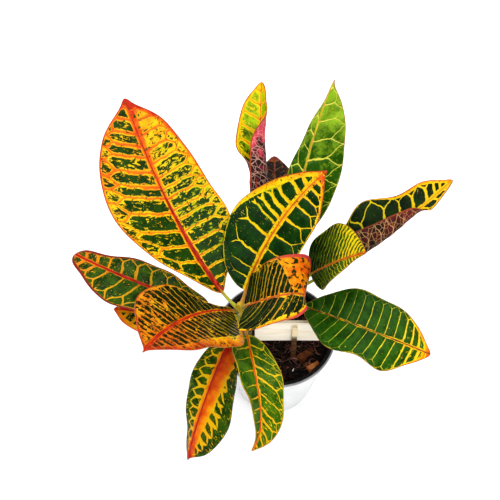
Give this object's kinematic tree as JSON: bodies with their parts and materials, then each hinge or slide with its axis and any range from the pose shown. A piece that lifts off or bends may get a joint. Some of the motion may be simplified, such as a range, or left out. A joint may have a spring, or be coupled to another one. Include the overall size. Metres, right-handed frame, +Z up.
{
  "type": "potted croton",
  "caption": "Potted croton with broad yellow, orange, red and green leaves on woody stems, in a black nursery pot inside a white pot, with a bare wooden label on a stake.",
  "frame": {"origin": "middle of the white pot's flat underside", "axes": "+Z up along the pot's axis, +X to the right and -Y to the front, where the label's face looks"},
  "size_m": [0.3627, 0.325, 0.3043],
  "materials": {
    "pot_white": "satin white moulded plastic",
    "pot_black": "satin black moulded plastic",
    "soil": "damp bark compost",
    "stem": "young woody stem with leaf scars",
    "leaf_gold": "waxy leaf, yellow and orange with green islands",
    "leaf_orange": "waxy leaf, orange and red with green streaks",
    "leaf_green": "waxy leaf, green with yellow veins",
    "leaf_purple": "waxy leaf seen from its purple-red underside",
    "label_wood": "bare pale wood"
  },
  "bodies": {
    "root": {"pot": "pot_white", "nursery_pot": "pot_black", "soil": "soil", "stem_left": "stem", "stem_middle": "stem", "leaf_a": "leaf_gold", "leaf_b": "leaf_green", "leaf_c": "leaf_orange", "leaf_d": "leaf_orange", "leaf_e": "leaf_green", "leaf_f": "leaf_green", "leaf_g": "leaf_green", "leaf_h": "leaf_purple", "leaf_i": "leaf_purple", "leaf_j": "leaf_green", "leaf_k": "leaf_orange", "leaf_l": "leaf_orange", "leaf_m": "leaf_green", "leaf_n": "leaf_green", "label_board": "label_wood", "label_stake": "label_wood"}
  },
  "joints": []
}
